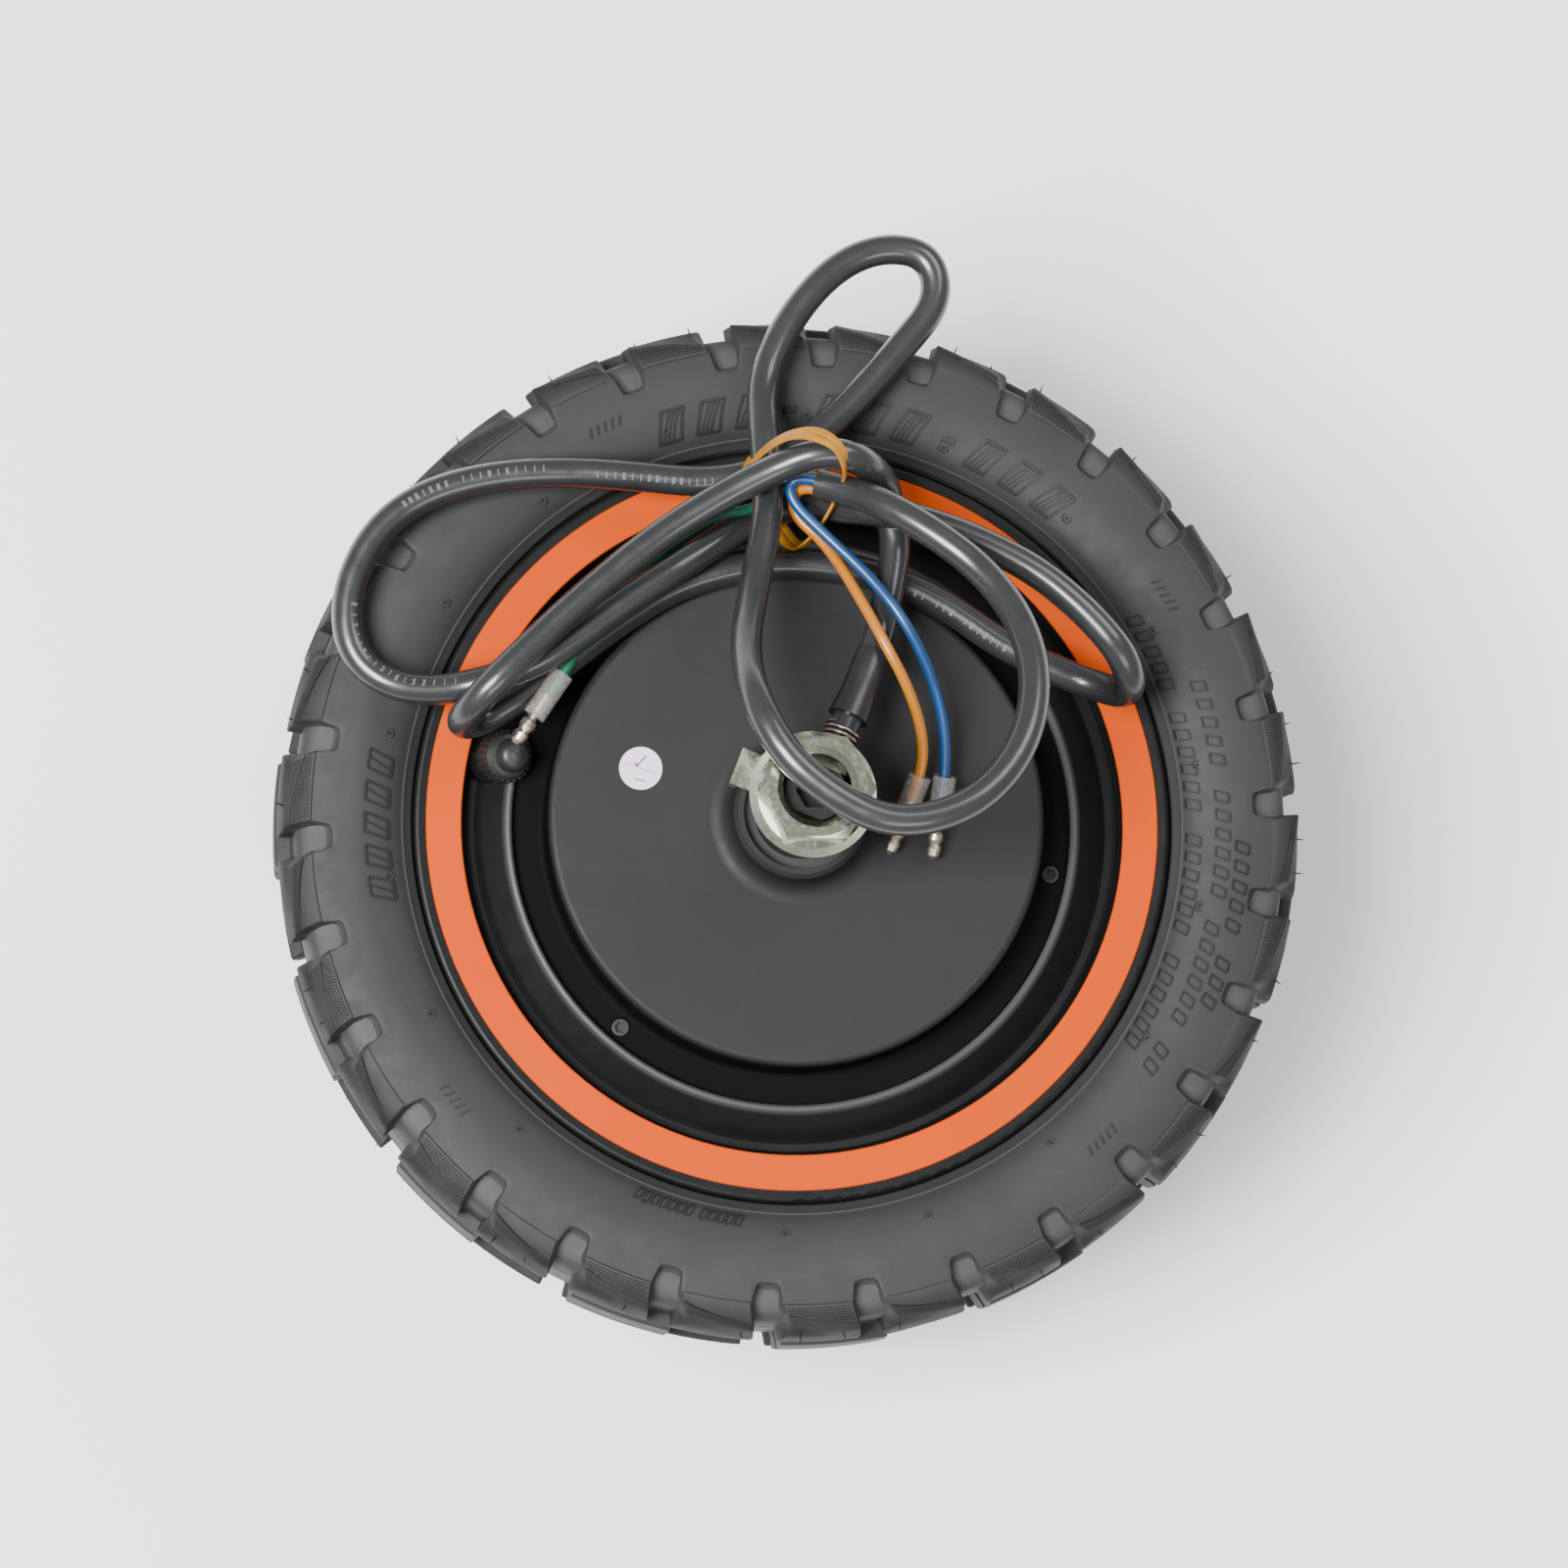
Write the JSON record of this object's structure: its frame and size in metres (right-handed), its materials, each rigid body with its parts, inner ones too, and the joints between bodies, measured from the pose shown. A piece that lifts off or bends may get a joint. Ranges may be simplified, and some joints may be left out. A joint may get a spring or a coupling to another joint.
{
  "type": "hub motor wheel",
  "caption": "Scooter wheel with a motor in its hub: knobbly tyre, two-cover rim turning on a fixed threaded axle, and a tied-up lead.",
  "frame": {"origin": "on the axle's centreline, at the middle plane of the tyre and halfway between the axle shoulders", "axes": "+Z along the axle towards the end the lead leaves from; +X and +Y across the wheel, with the valve at 167.5 degrees from +X and the lead's exit at about 63 degrees"},
  "size_m": [0.255, 0.2723, 0.1994],
  "materials": {
    "tyre_rubber": "matte",
    "rim_paint": "satin",
    "cover_paint": "matte",
    "accent_orange": "gloss",
    "zinc_plate": "passivated zinc plate",
    "axle_steel": "blackened",
    "bright_steel": "polished",
    "screw_steel": "blackened",
    "cast_aluminium": "as cast",
    "lamination_steel": "satin",
    "enamelled_copper": "enamelled copper",
    "magnet_nickel": "nickel plate",
    "circuit_board": "gloss",
    "moulded_plastic": "satin",
    "gasket_rubber": "matte",
    "valve_brass": "satin",
    "sticker_film": "matte",
    "cable_jacket": "satin",
    "shrink_sleeve": "gloss",
    "band_rubber": "natural rubber",
    "wire_yellow": "satin",
    "wire_blue": "satin",
    "wire_green": "satin",
    "tinned_brass": "tinned",
    "clear_sleeve": "clear vinyl"
  },
  "bodies": {
    "axle_assembly": {"axle_shaft": "axle_steel", "stator_key": "bright_steel", "tab_washer_upper": "zinc_plate", "plain_washer_lower": "zinc_plate", "axle_nut_upper": "zinc_plate", "axle_nut_lower": "zinc_plate", "stator_carrier": "cast_aluminium", "stator_core": "lamination_steel", "stator_windings": "enamelled_copper", "hall_sensor_board": "circuit_board", "hall_board_posts": "moulded_plastic", "hall_sensors": "moulded_plastic", "inner_lead_bundle": "cable_jacket", "bearing_upper_inner_race": "bright_steel", "bearing_lower_inner_race": "bright_steel", "main_cable": "cable_jacket", "cable_spring": "bright_steel", "cable_sleeve": "shrink_sleeve", "rubber_band": "band_rubber", "yellow_wire": "wire_yellow", "yellow_bullet": "tinned_brass", "yellow_bullet_sleeve": "clear_sleeve", "blue_wire": "wire_blue", "blue_bullet": "tinned_brass", "blue_bullet_sleeve": "clear_sleeve", "green_wire": "wire_green", "green_bullet": "tinned_brass", "green_bullet_sleeve": "clear_sleeve"},
    "wheel": {"upper_cover": "cover_paint", "lower_cover": "cover_paint", "upper_cover_gasket": "gasket_rubber", "lower_cover_gasket": "gasket_rubber", "upper_cover_screws": "screw_steel", "lower_cover_screws": "screw_steel", "shaft_seal_upper": "gasket_rubber", "shaft_seal_lower": "gasket_rubber", "bearing_upper_outer_race": "bright_steel", "bearing_lower_outer_race": "bright_steel", "rim_trim_ring_upper": "accent_orange", "rim_trim_ring_lower": "accent_orange", "rim_shell": "rim_paint", "flux_ring": "lamination_steel", "rotor_magnets": "magnet_nickel", "valve_stem": "valve_brass", "valve_core": "valve_brass", "valve_grommet": "gasket_rubber", "valve_nut": "valve_brass", "valve_cap": "moulded_plastic", "tyre": "tyre_rubber", "inspection_sticker": "sticker_film"},
    "upper_ball_set": {"bearing_upper_balls": "bright_steel", "bearing_upper_cage": "moulded_plastic"},
    "lower_ball_set": {"bearing_lower_balls": "bright_steel", "bearing_lower_cage": "moulded_plastic"}
  },
  "joints": [
    {"name": "wheel_spin", "type": "hinge", "parent": "axle_assembly", "child": "wheel", "pos_m": [0, 0, 0], "axis": [0, 0, 1], "continuous": true},
    {"name": "upper_ball_set_spin", "type": "hinge", "parent": "axle_assembly", "child": "upper_ball_set", "pos_m": [0, 0, 0.032], "axis": [0, 0, 1], "continuous": true},
    {"name": "lower_ball_set_spin", "type": "hinge", "parent": "axle_assembly", "child": "lower_ball_set", "pos_m": [0, 0, -0.032], "axis": [0, 0, 1], "continuous": true}
  ],
  "couplings": [
    {"joint": "upper_ball_set_spin", "follows": "wheel_spin", "ratio": 0.6006},
    {"joint": "lower_ball_set_spin", "follows": "wheel_spin", "ratio": 0.6006}
  ]
}
